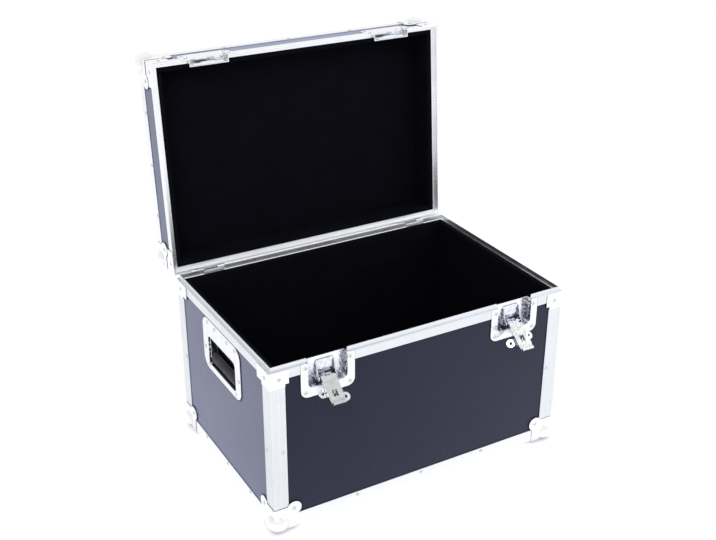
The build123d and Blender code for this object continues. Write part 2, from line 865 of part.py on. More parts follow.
def hinge_pin(x):
    """Pin through the knuckles."""
    middle = Plane(origin=(x, hinge_y, hinge_z), x_dir=(0, 1, 0), z_dir=(1, 0, 0))
    with BuildPart() as pin:
        with BuildSketch(middle):
            Circle(hinge_pin_r)
        extrude(amount=hinge_w / 2 + pin_proud, both=True)
    return pin.part


save_group([hinge_leaf(x, -1, BASE) for x in hinge_places], "hinge_base_leaves")
save_group([hinge_leaf(x, 1, LID) for x in hinge_places], "hinge_lid_leaves")
save_group([hinge_pin(x) for x in hinge_places], "hinge_pins")


# ---------------------------------------------------------------- handles
grip_pivot_z = grip_pocket_z + grip_pocket_h / 2 - handle_pivot_drop
grip_z = grip_pocket_z - grip_pocket_h / 2 + bail_gap + grip_w / 2
bail_x = grip_pocket_w / 2 - bail_gap


def handle_dish(side):
    """Drawn dish with a deep pocket for the folded grip and large round corners."""
    with BuildPart() as dish:
        with BuildSketch(wall(side)):
            with Locations((0, handle_top - handle_h / 2)):
                RectangleRounded(handle_w, handle_h, handle_corner)
        extrude(amount=-angle_t)
        with BuildSketch(wall(side)):
            with Locations((0, grip_pocket_z)):
                RectangleRounded(
                    grip_pocket_w + 2 * pan_t, grip_pocket_h + 2 * pan_t, grip_pocket_corner + pan_t
                )
        extrude(amount=-(grip_pocket_d + pan_t))
        with BuildSketch(wall(side)):
            with Locations((0, grip_pocket_z)):
                RectangleRounded(grip_pocket_w, grip_pocket_h, grip_pocket_corner)
        extrude(amount=-grip_pocket_d, mode=Mode.SUBTRACT)
        with BuildSketch(section(side)):
            with Locations((handle_pivot_depth, grip_pivot_z)):
                Circle(handle_pin_r)
        extrude(amount=handle_w / 2, both=True, mode=Mode.SUBTRACT)
    return dish.part


def handle_pin(side, end):
    """Short pin through the pocket's end wall and the bail's arm."""
    outer_end = grip_pocket_w / 2 + pan_t
    inner_end = bail_x - bail_t - pin_proud
    with BuildPart() as pin:
        with BuildSketch(section(side).offset(end * outer_end)):
            with Locations((handle_pivot_depth, grip_pivot_z)):
                Circle(handle_pin_r)
        extrude(amount=-end * (outer_end - inner_end))
    return pin.part


def bail(side):
    """Two flat arms joined by the rod inside the grip."""
    length = grip_pivot_z - grip_z
    with BuildPart() as frame:
        for end in (-1, 1):
            with BuildSketch(section(side).offset(end * bail_x)):
                with Locations((handle_pivot_depth, grip_z + length / 2)):
                    SlotCenterToCenter(length, bail_w, rotation=90)
                with Locations((handle_pivot_depth, grip_pivot_z)):
                    Circle(handle_pin_r + fit, mode=Mode.SUBTRACT)
            extrude(amount=-end * bail_t)
        with BuildSketch(section(side)):
            with Locations((handle_pivot_depth, grip_z)):
                Circle(bail_rod_r)
        extrude(amount=bail_x - bail_t, both=True)
    return frame.part


def grip(side):
    """Oval rubber sleeve on the rod."""
    with BuildPart() as sleeve:
        with BuildSketch(section(side)):
            with Locations((handle_pivot_depth, grip_z)):
                Ellipse(grip_d / 2, grip_w / 2)
                Circle(bail_rod_r, mode=Mode.SUBTRACT)
        extrude(amount=bail_x - bail_t, both=True)
    return sleeve.part


for side in ("left", "right"):
    save(handle_dish(side), f"{side}_handle_dish")
    save(bail(side), f"{side}_handle_bail")
    save(grip(side), f"{side}_handle_grip")
handle_pins = [handle_pin(side, end) for side in ("left", "right") for end in (-1, 1)]
save_group(handle_pins, "handle_pins")


# ---------------------------------------------------------------- lining
def wall_pad(side, low, high, place, cutouts=()):
    """Foam board cut out round what pokes through the panel behind it, and the facing over it."""
    width = span(side) - 2 * foam_in - (0 if side in ("front", "back") else 2 * foam_t)
    middle = (low + high) / 2
    with BuildPart() as board:
        with BuildSketch(wall(side, foam_in, place)):
            with Locations((0, middle)):
                Rectangle(width, high - low)
            for x, z, cut_w, cut_h in cutouts:
                with Locations((x, z)):
                    Rectangle(cut_w, cut_h, mode=Mode.SUBTRACT)
        extrude(amount=-(foam_t - facing_t))
    with BuildPart() as facing:
        with BuildSketch(wall(side, foam_in + foam_t - facing_t, place)):
            with Locations((0, middle)):
                Rectangle(width, high - low)
        extrude(amount=-facing_t)
    return [board.part, facing.part]


def flat_pad(low, place):
    """Foam pad on the bottom or the top panel."""
    inset = 2 * (angle_t + ply_t + foam_gap)
    with BuildPart() as pad:
        with BuildSketch(put(place, Plane.XY.offset(low))):
            Rectangle(case_w - inset, case_d - inset)
        extrude(amount=foam_t)
    return pad.part


base_cutouts = [
    (x, rim_z, pan_hole_w, 2 * (base_pocket_h + pan_t + foam_gap)) for x, _, _ in latches.values()
]
lid_cutouts = [
    (x, lid_low, pan_hole_w, 2 * (lid_pocket_h + pan_t + foam_gap)) for x, _, _ in latches.values()
]
around_pocket = 2 * (pan_t + pan_gap)
handle_cutouts = [
    (0, grip_pocket_z, grip_pocket_w + around_pocket, grip_pocket_h + around_pocket)
]
floor_pad_z = bottom_z + angle_t + ply_t + foam_gap
ceiling_pad_z = top_z - angle_t - ply_t - foam_gap - foam_t
pad_cutouts = {"front": base_cutouts, "back": [], "left": handle_cutouts, "right": handle_cutouts}
base_pads = [flat_pad(floor_pad_z, BASE)]
lid_pads = [flat_pad(ceiling_pad_z, LID)]
for side in SIDES:
    base_pads += wall_pad(side, floor_pad_z + foam_t, rim_z, BASE, pad_cutouts[side])
    lid_pads += wall_pad(side, web_z, ceiling_pad_z, LID, lid_cutouts if side == "front" else [])
save_group(base_pads, "base_lining")
save_group(lid_pads, "lid_lining")


# ---------------------------------------------------------------- rivets
def rivets(plane, points):
    """Rivet heads standing on a plane, each a low twelve-sided dome."""
    with BuildPart() as heads:
        with BuildSketch(plane):
            with Locations(*points):
                RegularPolygon(rivet_r, rivet_sides)
        extrude(amount=rivet_h, taper=rivet_taper)
    return list(heads.part.solids())


def pair(x, z):
    """The same place on the left and on the right of a wall's middle."""
    return [(-x, z), (x, z)]


def pan_rivets(x, z, rise):
    """The four holes in the flange of a latch pan, from its open edge to its round corners."""
    edge = pan_w / 2 - pan_rivet_in
    return [(x + s * edge, z + h) for s in (-1, 1) for h in rise]


base_heads = []
lid_heads = []
for side in SIDES:
    half = span(side) / 2
    pitch = half - (rail_rivet_in_long if side in ("front", "back") else rail_rivet_in_short)
    foot_z = bottom_z + foot_rivet_up
    base_heads += rivets(wall(side), [(0, foot_z), *pair(pitch, foot_z)])
    base_heads += rivets(wall(side), pair(half - post_rivet_in, (bottom_z + rim_z) / 2))
    crown_z = top_z - crown_rivet_down
    lid_heads += rivets(wall(side, 0, LID), [(0, crown_z), *pair(pitch, crown_z)])
    brace_x = half - brace_rivet_in
    base_heads += rivets(wall(side, -plate_t), pair(brace_x, rim_z - brace_rivet_up))
    lid_heads += rivets(wall(side, -plate_t, LID), pair(brace_x, lid_low + brace_rivet_up))
    lobe_x = half - ball_lobe
    base_heads += rivets(wall(side, -plate_t), pair(lobe_x, bottom_z + ball_lobe))
    lid_heads += rivets(wall(side, -plate_t, LID), pair(lobe_x, top_z - ball_lobe))
underside = Plane.XY.offset(bottom_z - plate_t)
lid_top = put(LID, Plane.XY.offset(top_z + plate_t))
lobes = [(sx * (case_w / 2 - ball_lobe), sy * (case_d / 2 - ball_lobe)) for sx, sy in CORNERS]
base_heads += rivets(Plane(underside.origin, z_dir=(0, 0, -1)), lobes)
lid_heads += rivets(lid_top, lobes)
for x, _, _ in latches.values():
    pan_rows = (pan_rivet_in, base_pan_h - pan_rivet_in)
    base_heads += rivets(wall("front"), pan_rivets(x, rim_z, [-row for row in pan_rows]))
    pan_rows = (pan_rivet_in, lid_pan_h - pan_rivet_in)
    lid_heads += rivets(wall("front", 0, LID), pan_rivets(x, lid_low, pan_rows))
for x in hinge_places:
    screws = [(x - hinge_rivet_x, 0), (x + hinge_rivet_x, 0)]
    base_leaf_z = hinge_z - hinge_base_leaf_h + leaf_rivet_in
    lid_leaf_z = hinge_z + hinge_lid_leaf_h - leaf_rivet_in
    base_heads += rivets(wall("back"), [(u, base_leaf_z) for u, _ in screws])
    lid_heads += rivets(wall("back", 0, LID), [(u, lid_leaf_z) for u, _ in screws])
handle_rivets = [
    *pair(handle_w / 2 - handle_corner, handle_top - handle_rivet_in),
    *pair(handle_w / 2 - handle_rivet_in, grip_pocket_z),
    *pair(handle_w / 2 - handle_corner, handle_low + handle_rivet_in),
    *pair(handle_w / 6, handle_top - handle_rivet_in),
]
for side in ("left", "right"):
    base_heads += rivets(wall(side), handle_rivets)
save_group(base_heads, "base_rivets")
save_group(lid_heads, "lid_rivets")
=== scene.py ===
import math

import bmesh
import bpy
from mathutils import Euler, Matrix, Vector, noise


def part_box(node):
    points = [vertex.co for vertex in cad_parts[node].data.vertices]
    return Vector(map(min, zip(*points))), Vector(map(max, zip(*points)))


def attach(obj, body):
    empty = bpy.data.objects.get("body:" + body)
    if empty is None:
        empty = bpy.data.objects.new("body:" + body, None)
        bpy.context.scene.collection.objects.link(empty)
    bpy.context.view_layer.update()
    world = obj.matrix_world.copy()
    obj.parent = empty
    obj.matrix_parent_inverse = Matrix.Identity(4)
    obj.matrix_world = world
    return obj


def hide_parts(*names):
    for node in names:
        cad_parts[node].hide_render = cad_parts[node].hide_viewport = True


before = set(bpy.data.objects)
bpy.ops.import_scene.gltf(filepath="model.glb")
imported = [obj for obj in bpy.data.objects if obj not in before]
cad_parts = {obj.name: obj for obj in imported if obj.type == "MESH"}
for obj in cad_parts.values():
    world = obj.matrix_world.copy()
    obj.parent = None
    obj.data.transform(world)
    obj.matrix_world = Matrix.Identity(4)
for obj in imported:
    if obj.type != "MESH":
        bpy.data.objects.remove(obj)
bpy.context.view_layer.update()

# ---------------------------------------------------------------- viewpoint
# The case is looked at from its front left, from above the open rim, through a lens a little
# longer than normal.
bpy.context.scene.view_settings.view_transform = "Standard"
eye = bpy.data.cameras.new("viewpoint")
eye.lens = 54.95
eye.sensor_width = 36.0
eye.shift_x = 0.0006
eye.shift_y = 0.0113
eye.clip_start = 0.05
eye.clip_end = 60.0
viewpoint = bpy.data.objects.new("viewpoint", eye)
viewpoint.location = (-0.9233, -1.5740, 1.2458)
viewpoint.rotation_euler = Euler((1.1103, -0.0022, -0.5191))
bpy.context.scene.collection.objects.link(viewpoint)
bpy.context.scene.camera = viewpoint


# ---------------------------------------------------------------- studio
# A plain white floor under an even white sky, with one large soft lamp high on the left and a
# weaker one on the right. The floor keeps the case's shadow.
class Amount:
    """One output of a finish, so that a finish reads as sums and products."""

    def __init__(self, finish, socket):
        self.finish = finish
        self.socket = socket

    def _math(self, operation, *values):
        return self.finish.node("Math", {"operation": operation}, dict(enumerate(values)))

    def __add__(self, other):
        return self._math("ADD", self, other)

    def __sub__(self, other):
        return self._math("SUBTRACT", self, other)

    def __rsub__(self, other):
        return self._math("SUBTRACT", other, self)

    def __mul__(self, other):
        return self._math("MULTIPLY", self, other)

    def __or__(self, other):
        """The larger of the two."""
        return self._math("MAXIMUM", self, other)

    def __abs__(self):
        return self._math("ABSOLUTE", self)

    __radd__, __rmul__, __ror__ = __add__, __mul__, __or__


class Finish:
    """The nodes of one material, or of the sky."""

    rays = 6  # sent out from each point to feel for nooks and for edges

    def __init__(self, name, sky=None):
        self.made = sky or bpy.data.materials.new(name)
        self.made.use_nodes = True
        self.tree = self.made.node_tree
        self.surface = self.tree.nodes["Background" if sky else "Principled BSDF"]

    def node(self, kind, settings=None, values=None, output=0):
        made = self.tree.nodes.new("ShaderNode" + kind)
        for key, setting in (settings or {}).items():
            setattr(made, key, setting)
        self.feed(made, values or {})
        return Amount(self, made.outputs[output])

    def feed(self, node, values):
        for key, value in values.items():
            socket = node.inputs[key]
            if isinstance(value, Amount):
                self.tree.links.new(value.socket, socket)
            else:
                socket.default_value = (*value, 1.0) if socket.type == "RGBA" else value

    def set(self, **values):
        self.feed(self.surface, {key.replace("_", " "): value for key, value in values.items()})
        return self.made

    def under(self, cover, colour):
        """Painted shade of one dull colour over the surface, as thick as the cover says, 0 to 1."""
        unshaded = Amount(self, self.surface.outputs[0])
        painted_shade = self.node("BsdfDiffuse", values={"Color": colour, "Roughness": 1.0})
        both = self.node("MixShader", values={0: cover, 1: unshaded, 2: painted_shade})
        self.feed(self.tree.nodes["Material Output"], {"Surface": both})
        return self.made

    def seen(self):
        """1 for what the eye sees, straight, in metal or through glass, and 0 for falling light."""
        rays = ("Is Camera Ray", "Is Glossy Ray", "Is Transmission Ray")
        straight, mirrored, through = (self.node("LightPath", output=ray) for ray in rays)
        return straight | mirrored | through

    def place(self, turn=(0, 0, 0), scale=(1, 1, 1)):
        """Where a point is on the part, in metres, turned and stretched."""
        at = self.node("TexCoord", output="Object")
        return self.node("Mapping", values={0: at, 2: turn, 3: scale})

    def cloud(self, at, scale, detail=2.0, roughness=0.5):
        return self.node(
            "TexNoise",
            values={"Vector": at, "Scale": scale, "Detail": detail, "Roughness": roughness},
        )

    def spread(self, value, low, high, to_low=0.0, to_high=1.0):
        """The range from low to high stretched to another one, and held at its ends."""
        return self.node("MapRange", values={0: value, 1: low, 2: high, 3: to_low, 4: to_high})

    def mix(self, factor, first, second):
        return self.node("Mix", {"data_type": "RGBA"}, {0: factor, 6: first, 7: second}, 2)

    def relief(self, height, depth, normal=None):
        values = {"Height": height, "Distance": depth}
        if normal:
            values["Normal"] = normal
        return self.node("Bump", values=values)

    def openness(self, reach):
        """How much of the sky within reach a point sees, from 0 in a nook to 1 on a flat."""
        return self.node("AmbientOcclusion", {"samples": self.rays}, {"Distance": reach}, 1)

    def facing(self, way):
        """1 where the surface looks along the given way or against it, 0 where it is square to it."""
        normal = self.node("NewGeometry", output="Normal")
        return abs(self.node("VectorMath", {"operation": "DOT_PRODUCT"}, {0: normal, 1: way}, 1))

    def softened(self, radius):
        """The normal as if every edge had been broken by that radius, in metres."""
        return self.node("Bevel", {"samples": self.rays}, {"Radius": radius})


sky = bpy.data.worlds.new("sky")
bpy.context.scene.world = sky
even = Finish("sky", sky)
even.set(Color=(1, 1, 1), Strength=even.spread(even.seen(), 0, 1, 0.62, 1.0))

FLOOR_HALF = 9
floor_mesh = bpy.data.meshes.new("floor")
floor_corners = [
    (FLOOR_HALF * x, FLOOR_HALF * y, 0) for x, y in ((-1, -1), (1, -1), (1, 1), (-1, 1))
]
floor_mesh.from_pydata(floor_corners, [], [(0, 1, 2, 3)])
floor = bpy.data.objects.new("floor", floor_mesh)
bpy.context.scene.collection.objects.link(floor)
paper = Finish("floor")
paper.set(
    Base_Color=(0.93, 0.93, 0.94),
    Roughness=0.9,
    Specular_IOR_Level=0.1,
    Emission_Color=paper.mix(paper.seen(), (0, 0, 0), (1, 1, 1)),
    Emission_Strength=0.42,
)
floor_mesh.materials.append(paper.made)

LAMPS_AIM = Vector((0, 0, 0.3))
for name, place, size, power in (
    ("key", (-1.7, -1.9, 2.6), 1.8, 26.0),
    ("fill", (2.4, -1.2, 1.8), 1.6, 10.0),
):
    lamp = bpy.data.lights.new(name, "AREA")
    lamp.shape = "SQUARE"
    lamp.size = size
    lamp.energy = power
    holder = bpy.data.objects.new(name, lamp)
    holder.location = place
    holder.rotation_euler = (Vector(place) - LAMPS_AIM).to_track_quat("Z", "Y").to_euler()
    bpy.context.scene.collection.objects.link(holder)


# ---------------------------------------------------------------- panels
# Plywood boards faced with a dark violet-black film, rolled on hot, so that it has a fine
# pebble, a slight cloudiness and a few dull rubs. Painted shade lies in the nooks round the fittings.
def dress(material, *nodes):
    """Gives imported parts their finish."""
    for node in nodes:
        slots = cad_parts[node].data.materials
        slots.clear()
        slots.append(material)


def laminate_film():
    black = (0.0060, 0.0060, 0.0150)
    violet = (0.0095, 0.0100, 0.0210)
    worn_pebble = (0.016, 0.016, 0.028)
    painted_contact_shade = (0.002, 0.002, 0.004)
    skin = Finish("laminate_film")
    at = skin.place()
    cloudy = skin.cloud(at, 14, 4, 0.6)
    pebble = skin.cloud(at, 700, 2, 0.6)
    rubs = skin.cloud(skin.place((0, 0, 0.5), (40, 9, 9)), 9, 3, 0.7)
    colour = skin.mix(cloudy, black, violet)
    colour = skin.mix(skin.spread(pebble, 0.62, 0.75, 0, 0.3), colour, worn_pebble)
    rough = 0.18 + skin.spread(cloudy, 0.3, 0.7, 0, 0.06) + skin.spread(rubs, 0.56, 0.7, 0, 0.10)
    skin.set(
        Base_Color=colour,
        Roughness=rough,
        Normal=skin.relief(pebble, 0.00001, skin.softened(0.0005)),
        IOR=1.7,
        Specular_Tint=(0.12, 0.12, 0.20),
        Sheen_Weight=1.0,
        Sheen_Roughness=0.42,
        Sheen_Tint=(0.56, 0.61, 1.0),
    )
    # painted shade: a dark dull coat laid over the film in the nooks round the fittings
    return skin.under(skin.spread(skin.openness(0.004), 0.55, 0.95, 0.92, 0), painted_contact_shade)


laminate = laminate_film()
walls = ("front", "back", "left", "right")
dress(laminate, "base_bottom_panel", "lid_top_panel")
dress(laminate, *(f"{half}_{wall}_panel" for half in ("base", "lid") for wall in walls))


# ---------------------------------------------------------------- rims and edge angles
# Aluminium extrusions, satin anodised. The die leaves fine lines along each length, so each
# direction has its own finish, and the lid's are turned with the lid.
LID_TURN = math.radians(94.7)
LINES_A_METRE = 1500.0
BANDS_A_METRE = LINES_A_METRE / 5


def extrusion(name, along, turn=0.0, pale=(0.80, 0.82, 0.85), grey=(0.68, 0.71, 0.75)):
    """Aluminium with its die lines along one axis of a profile that is turned about x."""
    stained = (0.64, 0.67, 0.72)
    metal = Finish(f"aluminium_{name}")

    def drawn(count, roughness):
        stretch = tuple(1.0 if axis == along else count for axis in "xyz")
        return metal.cloud(metal.place((turn, 0, 0), stretch), 1.0, 2, roughness)

    grain = drawn(LINES_A_METRE, 0.6) * 0.6 + drawn(BANDS_A_METRE, 0.5) * 0.4
    stain_and_painted_shade = metal.cloud(metal.place(), 22, 4, 0.6)
    colour = metal.mix(metal.spread(grain, 0.35, 0.62), grey, pale)
    colour = metal.mix(metal.spread(stain_and_painted_shade, 0.5, 0.75, 0, 0.25), colour, stained)
    rough = 0.22 + metal.spread(grain, 0.35, 0.65, 0, 0.12) + metal.spread(stain_and_painted_shade, 0.4, 0.7, 0, 0.06)
    normal = metal.relief(grain, 0.00005, metal.softened(0.0006))
    return metal.set(Base_Color=colour, Metallic=1.0, Roughness=rough, Normal=normal)


# a lighter copy of the same aluminium: painted light on the rails that take it
painted_lighter = {"pale": (0.93, 0.94, 0.96), "grey": (0.82, 0.84, 0.87)}
dress(extrusion("along_x", "x"), "base_rim_front")
dress(extrusion("back_x", "x", **painted_lighter), "base_rim_back")
dress(extrusion("along_y", "y"), "base_rim_ends")
dress(extrusion("foot_x", "x", **painted_lighter), "base_foot_angles_long")
dress(extrusion("foot_y", "y", **painted_lighter), "base_foot_angles_short")
dress(extrusion("upright", "z"), "base_posts")
lid_x = extrusion("lid_x", "x", LID_TURN, **painted_lighter)
dress(lid_x, "lid_rim_front", "lid_rim_back", "lid_crown_angles_long")
lid_y = extrusion("lid_y", "y", LID_TURN, **painted_lighter)
dress(lid_y, "lid_rim_ends", "lid_crown_angles_short")
dress(extrusion("lid_upright", "z", LID_TURN), "lid_posts")


# ---------------------------------------------------------------- ball corners and braces
# Deep-drawn steel, zinc plated and bright. The drawing stretches the skin over the ball, so the
# plate is a little uneven, with fine pits and a dulled touch where it was handled.
def plated(
    name, bright, dull, rough, edge,
    ripple=70, wavy=0.00012, deep=0.012, shade=0.9, painted_reflection_way=None, stain_and_painted_shade=None,
):
    """Bright plate, with painted shade in its nooks and painted dark reflections on faces along a
    way.
    """
    painted_dark_colour = (0.05, 0.05, 0.10)
    steel = Finish(name)
    at = steel.place()
    wave = steel.cloud(at, ripple, 3, 0.5)
    spots = steel.cloud(at, 420, 3, 0.65)
    # painted shade in the nooks, darker the less sky a point sees
    painted_shade_and_reflection = steel.spread(steel.openness(deep), 0.3, 0.9, shade, 0)
    if painted_reflection_way:
        # painted dark reflections, in blotches, on the faces that look along the given way
        painted_reflection_blotches = steel.cloud(at, 200, 1, 0.5)
        painted_shade_and_reflection = painted_shade_and_reflection | steel.facing(painted_reflection_way) * steel.spread(painted_reflection_blotches, 0.44, 0.54, 0.10, 0.92)
    # a further mark of painted shade, where one is given
    if stain_and_painted_shade:
        painted_shade_and_reflection = painted_shade_and_reflection | stain_and_painted_shade(steel)
    tone = steel.mix(steel.spread(wave, 0.35, 0.7), bright, dull)
    tone = steel.mix(painted_shade_and_reflection, tone, painted_dark_colour)
    rough = rough + steel.spread(wave, 0.35, 0.7, 0, 0.06) + steel.spread(spots, 0.5, 0.72, 0, 0.07)
    normal = steel.relief(wave * 0.8 + spots * 0.2, wavy, steel.softened(edge))
    return steel.set(Base_Color=tone, Metallic=1.0, Roughness=rough, Normal=normal)


corner_plate = plated(
    "corner_plate", bright=(0.96, 0.96, 0.97), dull=(0.88, 0.89, 0.92),
    rough=0.10, edge=0.0009, deep=0.016, shade=1.0,
)
dress(corner_plate, "base_ball_corners", "lid_ball_corners", "base_rim_braces", "lid_rim_braces")


# ---------------------------------------------------------------- latches
# Recessed butterfly latches: two drawn dishes, a riveted bracket, a swinging arm with its claw,
# and the butterfly. Everything is nickel plated steel, the moving parts a shade darker.
dish_plate = plated(
    "dish_plate", bright=(0.92, 0.93, 0.95), dull=(0.78, 0.80, 0.86),
    rough=0.04, edge=0.0007, ripple=130, wavy=0.0006, deep=0.016, shade=0.8, painted_reflection_way=(1, 0, 0),
)
keeper_plate = plated(
    "keeper_plate", bright=(0.92, 0.93, 0.95), dull=(0.84, 0.86, 0.90),
    rough=0.08, edge=0.0007, ripple=90, wavy=0.0003, deep=0.006, shade=0.5,
)
bracket_steel = plated(
    "bracket_steel", bright=(0.86, 0.88, 0.91), dull=(0.60, 0.63, 0.72),
    rough=0.06, edge=0.0004, ripple=170, wavy=0.0005, deep=0.010, shade=0.7, painted_reflection_way=(1, 0, 0),
)
latch_steel = plated(
    "latch_steel", bright=(0.82, 0.83, 0.85), dull=(0.66, 0.68, 0.72),
    rough=0.10, edge=0.0004, ripple=120, wavy=0.0003, deep=0.010, shade=0.9,
)
ARM_TURN = math.radians(130)  # out and down from the shut latch
SLOT_UP_THE_ARM = 0.034  # from the pivot pin to the middle of the cross
SLOT_HALF_WIDTH = 0.0022  # of each arm of the cross
SLOT_REACH = 0.0070  # from the middle to the end of an arm, across and up together
sides = ("left", "right")


def painted_shade_in_slot(steel):
    """Painted shade in and round the claw's crossed slot, whose arms lie at 45 degrees to the claw.

    Both latches hang alike, so one finish serves the two: distances are taken along the arm from
    the pivot pins, and sideways from the middle of the right arm or of its mirror image.
    """
    hung = Euler((-ARM_TURN, 0, 0))
    pin_low, pin_high = (Vector(corner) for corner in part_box("latch_pivot_pins"))
    arm_low, arm_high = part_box("right_latch_arm")
    slot_x = (arm_low[0] + arm_high[0]) / 2
    slot_z = (hung.to_matrix() @ ((pin_low + pin_high) / 2)).z + SLOT_UP_THE_ARM
    at = steel.place(tuple(hung))
    sideways, lengthways = (steel.node("SeparateXYZ", values={0: at}, output=way) for way in "XZ")
    aside = abs(abs(sideways) - slot_x)
    along = abs(lengthways - slot_z)
    off_arm = abs(aside - along)
    in_the_cross = steel.spread(off_arm, SLOT_HALF_WIDTH, SLOT_HALF_WIDTH + 0.0012, 0.95, 0)
    within_reach = steel.spread(aside + along, SLOT_REACH, SLOT_REACH + 0.0020, 1, 0)
    return in_the_cross * within_reach


claw_steel = plated(
    "claw_steel", bright=(0.68, 0.69, 0.68), dull=(0.54, 0.55, 0.55),
    rough=0.12, edge=0.0004, ripple=120, wavy=0.0003, deep=0.010, shade=0.9, stain_and_painted_shade=painted_shade_in_slot,
)
dress(dish_plate, *(f"{side}_latch_base_pan" for side in sides))
dress(keeper_plate, "latch_keepers", *(f"{side}_latch_lid_pan" for side in sides))
dress(claw_steel, *(f"{side}_latch_claw" for side in sides))
butterfly = ("hub", "wing_a", "wing_b")
dress(latch_steel, *(f"{side}_butterfly_{piece}" for side in sides for piece in butterfly))
dress(bracket_steel, "latch_brackets", "latch_pivot_pins", *(f"{side}_latch_arm" for side in sides))


# ---------------------------------------------------------------- hinges
# Stop hinges of the same plated steel, riveted to the back wall and to the lid. Their leaves
# are rolled round the pins.
dress(latch_steel, "hinge_base_leaves", "hinge_lid_leaves", "hinge_pins")


# ---------------------------------------------------------------- handles
# A drawn dish with a bright bail folded into it. The grip is black rubber moulded on the bail's
# rod: an oval sleeve with rounded ends, a slight swell for the palm and the mould's parting line.
handle_plate = plated(
    "handle_plate", bright=(0.92, 0.93, 0.95), dull=(0.78, 0.80, 0.86),
    rough=0.08, edge=0.0007, ripple=90, wavy=0.0008, deep=0.010, shade=0.4, painted_reflection_way=(0, 1, 0),
)
dress(handle_plate, "left_handle_dish", "right_handle_dish")
dress(keeper_plate, "left_handle_bail", "right_handle_bail", "handle_pins")


def rubber():
    black = (0.0060, 0.0052, 0.0110)
    worn = (0.0125, 0.0110, 0.0210)
    skin = Finish("grip_rubber")
    at = skin.place()
    grain = skin.cloud(at, 1100, 3, 0.6)
    wear = skin.cloud(at, 60, 3, 0.6)
    return skin.set(
        Base_Color=skin.mix(wear, black, worn),
        Roughness=0.45 + skin.spread(wear, 0.4, 0.7, 0, 0.2),
        Normal=skin.relief(grain, 0.00006),
        IOR=1.5,
        Specular_IOR_Level=0.35,
    )


grip_rubber = rubber()


def loft(shape, rings, looped=False):
    """A skin from ring to ring, joined up into a loop or else closed by a flat at each end."""
    for one, two in zip(rings, rings[1:] + rings[:1] if looped else rings[1:]):
        for i in range(len(one)):
            j = (i + 1) % len(one)
            shape.faces.new((one[i], one[j], two[j], two[i])).smooth = True
    if not looped:
        shape.faces.new(rings[0][::-1])
        shape.faces.new(rings[-1])


def put_on(body, name, shape, material, slot, *nodes):
    """Hangs a finished shape on its body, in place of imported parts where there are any."""
    mesh = bpy.data.meshes.new(name)
    shape.to_mesh(mesh)
    shape.free()
    mesh.materials.append(material)
    made = bpy.data.objects.new(name, mesh)
    bpy.context.scene.collection.objects.link(made)
    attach(made, body)
    if nodes:
        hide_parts(*nodes)
    return made


def moulded_grip(side):
    """Rings from end to end, each an oval with two small ribs where the mould closed."""
    rows = 44
    steps = 40
    end_round = 0.0040
    rib = 0.0002
    swell = 0.06
    low, high = (Vector(corner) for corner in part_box(f"{side}_handle_grip"))
    middle = (low + high) / 2
    half = (high - low) / 2
    shape = bmesh.new()
    rings = []
    for row in range(rows + 1):
        along = -math.cos(math.pi * row / rows) * half.y
        into_end = max(0.0, 1 - (half.y - abs(along)) / end_round)
        lost = end_round * (1 - math.sqrt(1 - into_end * into_end))
        waist = 1 - swell + swell * math.cos(math.pi * along / (2 * half.y))
        ring = []
        for step in range(steps):
            turn = 2 * math.pi * step / steps
            proud = rib if step % (steps // 2) == 0 else 0.0
            across = (half.x * waist - lost - rib + proud) * math.cos(turn)
            up = (half.z * waist - lost) * math.sin(turn)
            ring.append(shape.verts.new(middle + Vector((across, along, up))))
        rings.append(ring)
    loft(shape, rings)
    bmesh.ops.recalc_face_normals(shape, faces=shape.faces)
    put_on(
        f"{side}_handle", f"{side}_rubber_grip", shape, grip_rubber, "grip_rubber",
        f"{side}_handle_grip",
    )


def shadow_bead(side, outward):
    """A thin black bead round the dish's flange, lying on the panel: a painted shadow of the flange.
    """
    flange_radius = 0.022
    corner_steps = 10
    # each point's way out from the flange's edge, and its height off the panel
    section = (
        (-0.0006, 0.0013), (0.0002, 0.0013), (0.0010, 0.0010), (0.0016, 0.0005), (0.0019, 0),
        (-0.0006, 0),
    )
    low, high = (Vector(corner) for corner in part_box(f"{side}_handle_dish"))
    panel_low, panel_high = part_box(f"base_{side}_panel")
    panel = (panel_low if outward < 0 else panel_high)[0]
    middle = (low + high) / 2
    straight = (high - low) / 2 - Vector((0, flange_radius, flange_radius))
    shape = bmesh.new()
    rings = []
    for quarter, (side_y, side_z) in enumerate(((1, 1), (-1, 1), (-1, -1), (1, -1))):
        centre_y = middle.y + side_y * straight.y
        centre_z = middle.z + side_z * straight.z
        for step in range(corner_steps + 1):
            turn = math.pi / 2 * (quarter + step / corner_steps)
            ring = []
            for out, height in section:
                y = centre_y + (flange_radius + out) * math.cos(turn)
                z = centre_z + (flange_radius + out) * math.sin(turn)
                ring.append(shape.verts.new((panel + outward * height, y, z)))
            rings.append(ring)
    loft(shape, rings, looped=True)
    bmesh.ops.recalc_face_normals(shape, faces=shape.faces)
    put_on("case_base", f"{side}_handle_shadow_bead", shape, grip_rubber, "grip_rubber")


for side, outward in (("left", -1), ("right", 1)):
    moulded_grip(side)
    shadow_bead(side, outward)


# ---------------------------------------------------------------- lining
# Foam boards faced with black short-pile cloth that is turned round their edges, glued one to
# each panel. Behind the latches and the handles the foam is cut away and only the cloth is left.
def pile_cloth():
    black = (0.0018, 0.0018, 0.0034)
    tips = (0.0064, 0.0068, 0.0112)
    brushed_up = (0.0060, 0.0064, 0.0112)
    cloth = Finish("pile_facing")
    at = cloth.place()
    fibres = cloth.cloud(at, 1600, 3, 0.7)
    brushed = cloth.cloud(at, 25, 3, 0.6)
    colour = cloth.mix(fibres, black, tips)
    return cloth.set(
        Base_Color=cloth.mix(cloth.spread(brushed, 0.4, 0.7, 0, 0.5), colour, brushed_up),
        Roughness=0.95,
        Specular_IOR_Level=0.04,
        Normal=cloth.relief(fibres, 0.0003),
    )


